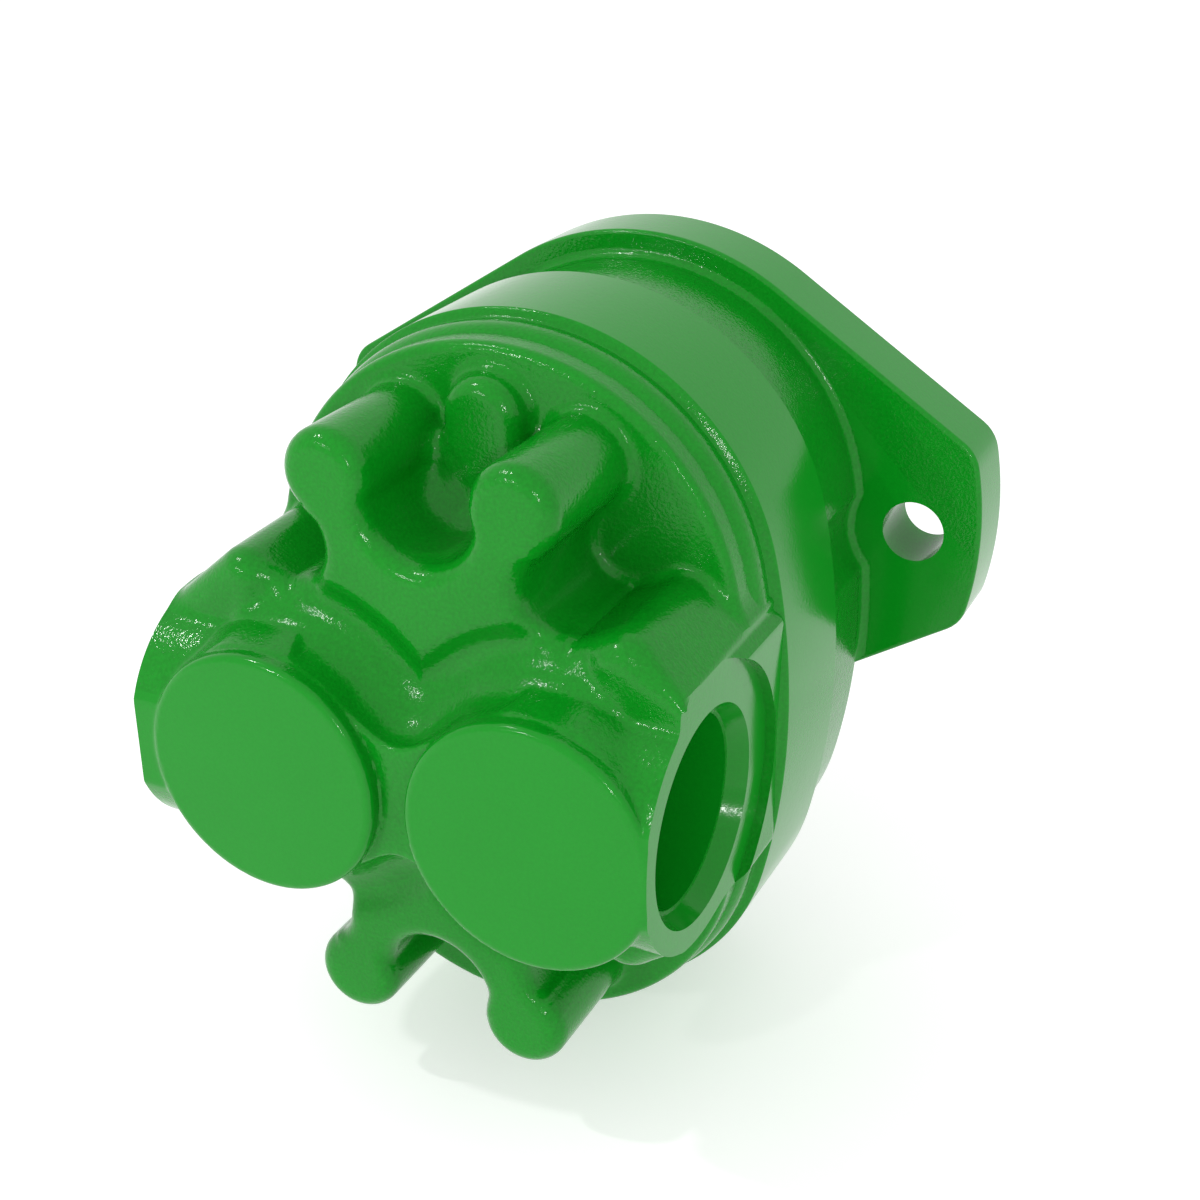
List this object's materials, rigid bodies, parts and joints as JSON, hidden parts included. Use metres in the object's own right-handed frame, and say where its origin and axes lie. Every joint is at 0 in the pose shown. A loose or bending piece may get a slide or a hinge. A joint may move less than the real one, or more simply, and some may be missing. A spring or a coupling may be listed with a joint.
{
  "type": "external gear pump",
  "caption": "Green cast iron external gear pump with a two-ear mounting flange, ribbed rear end, a threaded port on each side and a keyed drive shaft.",
  "frame": {"origin": "centre of the drive shaft in the plane of the mounting flange's front face", "axes": "+Y along the drive shaft, away from the pump; +X towards the outlet port; +Z from the driven shaft towards the drive shaft"},
  "size_m": [0.1306, 0.137, 0.132],
  "materials": {
    "green_casting": "gloss",
    "ground_steel": "satin",
    "dark_steel": "satin",
    "bearing_bronze": "satin",
    "seal_rubber": "matte",
    "white_plastic": "matte"
  },
  "bodies": {
    "pump_case": {"front_cover": "green_casting", "pump_body": "green_casting", "front_drive_bushing": "bearing_bronze", "front_driven_bushing": "bearing_bronze", "rear_drive_bushing": "bearing_bronze", "rear_driven_bushing": "bearing_bronze", "front_wear_plate": "bearing_bronze", "rear_wear_plate": "bearing_bronze", "front_balance_seal": "seal_rubber", "rear_balance_seal": "seal_rubber", "front_backup_strip": "white_plastic", "rear_backup_strip": "white_plastic", "joint_seal": "seal_rubber", "shaft_seal_case": "ground_steel", "shaft_seal_lip": "seal_rubber", "seal_garter_spring": "ground_steel", "retaining_ring": "dark_steel", "body_screws": "dark_steel", "screw_washers": "ground_steel", "dowel_pins": "ground_steel"},
    "drive_rotor": {"drive_shaft": "ground_steel", "drive_gear": "ground_steel", "drive_gear_key": "dark_steel"},
    "driven_rotor": {"driven_shaft": "ground_steel", "driven_gear": "ground_steel"}
  },
  "joints": [
    {"name": "drive_shaft_spin", "type": "hinge", "parent": "pump_case", "child": "drive_rotor", "pos_m": [0, 0, 0], "axis": [0, 1, 0], "continuous": true},
    {"name": "driven_shaft_spin", "type": "hinge", "parent": "pump_case", "child": "driven_rotor", "pos_m": [0, 0, -0.0381], "axis": [0, 1, 0], "continuous": true}
  ],
  "couplings": [
    {"joint": "driven_shaft_spin", "follows": "drive_shaft_spin", "ratio": -1}
  ]
}
